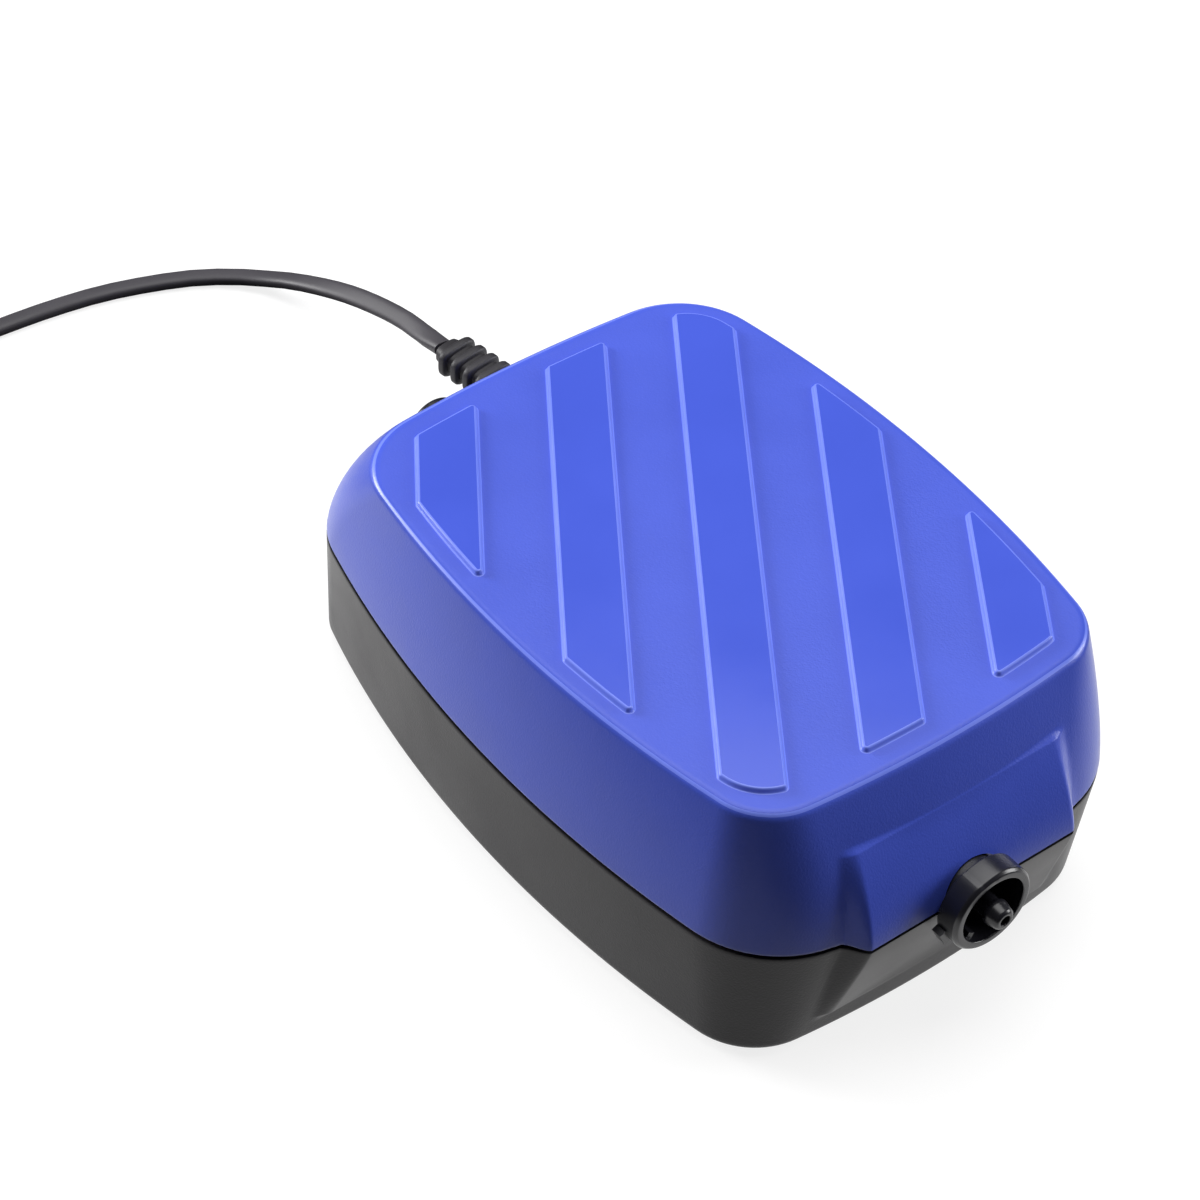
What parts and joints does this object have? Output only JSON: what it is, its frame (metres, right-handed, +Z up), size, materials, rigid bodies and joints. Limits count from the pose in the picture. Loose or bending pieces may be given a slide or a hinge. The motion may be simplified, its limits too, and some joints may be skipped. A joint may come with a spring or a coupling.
{
  "type": "aquarium air pump",
  "caption": "Mains diaphragm air pump for an aquarium: two-part plastic case with slanted raised bands, front air outlet inside a flow knob, rear mains cord with strain relief.",
  "frame": {"origin": "on the surface that the feet stand on, under the middle of the pump without its cord", "axes": "+Z up; -Y towards the air outlet; +Y towards the mains cord; +X is on the right when looking along +Y from in front of the outlet"},
  "size_m": [0.1842, 0.2524, 0.0565],
  "materials": {
    "blue_abs": "satin, fine grain, smoother raised bands",
    "black_abs": "satin, fine grain",
    "gloss_black": "gloss",
    "foot_rubber": "matte",
    "seal_rubber": "matte",
    "zinc_steel": "satin zinc plating",
    "white_nylon": "satin",
    "clear_pvc": "gloss, soft clear tube",
    "ferrite": "matte sintered ferrite",
    "core_steel": "stacked laminations",
    "copper_wire": "enamelled copper wire",
    "brown_pvc": "smooth",
    "blue_pvc": "smooth",
    "felt": "pressed felt",
    "cord_pvc": "matte",
    "brass": "bright"
  },
  "bodies": {
    "case": {"cover": "blue_abs", "base": "black_abs", "foot_front_left": "foot_rubber", "foot_front_right": "foot_rubber", "foot_rear_left": "foot_rubber", "foot_rear_right": "foot_rubber", "case_screw_front_left": "zinc_steel", "case_screw_front_right": "zinc_steel", "case_screw_rear_left": "zinc_steel", "case_screw_rear_right": "zinc_steel", "outlet_nozzle": "gloss_black", "outlet_hose": "clear_pvc", "clamp_ring": "black_abs", "valve_plate": "white_nylon", "head_gasket": "seal_rubber", "head_cover": "black_abs", "head_screw_1": "zinc_steel", "head_screw_2": "zinc_steel", "head_screw_3": "zinc_steel", "head_screw_4": "zinc_steel", "diaphragm": "seal_rubber", "arm_pin": "zinc_steel", "core": "core_steel", "core_screw_1": "zinc_steel", "core_screw_2": "zinc_steel", "bobbin": "white_nylon", "coil": "copper_wire", "lead_live": "brown_pvc", "lead_live_sleeve": "white_nylon", "lead_neutral": "blue_pvc", "lead_neutral_sleeve": "white_nylon", "strain_relief": "cord_pvc", "intake_cap": "gloss_black", "intake_felt": "felt", "mains_cord": "cord_pvc", "cord_coil": "cord_pvc", "plug": "cord_pvc", "plug_blade_left": "brass", "plug_blade_right": "brass"},
    "knob": {"flow_knob": "gloss_black"},
    "arm": {"swing_arm": "white_nylon", "arm_magnet": "ferrite", "diaphragm_back_plate": "white_nylon", "diaphragm_front_plate": "white_nylon", "diaphragm_nut": "zinc_steel", "diaphragm_screw": "zinc_steel"},
    "outlet_valve": {"outlet_flap": "seal_rubber"},
    "inlet_valve": {"inlet_flap": "seal_rubber"}
  },
  "joints": [
    {"name": "flow_knob_turn", "type": "hinge", "parent": "case", "child": "knob", "pos_m": [0, -0.0672, 0.0279], "axis": [0, -1, 0], "range_deg": [-135, 135]},
    {"name": "arm_swing", "type": "hinge", "parent": "case", "child": "arm", "pos_m": [-0.008, -0.0372, 0.024], "axis": [0, 0, 1], "range_deg": [-1.5, 1.5], "stiffness_Nm_per_rad": 0.4, "deforming": ["diaphragm"]},
    {"name": "outlet_flap_open", "type": "hinge", "parent": "case", "child": "outlet_valve", "pos_m": [0.01315, -0.0134, 0.024], "axis": [0, 0, 1], "range_deg": [0, 15], "stiffness_Nm_per_rad": 0.0001},
    {"name": "inlet_flap_open", "type": "hinge", "parent": "case", "child": "inlet_valve", "pos_m": [0.00885, -0.0006, 0.024], "axis": [0, 0, -1], "range_deg": [0, 15], "stiffness_Nm_per_rad": 0.0001}
  ]
}
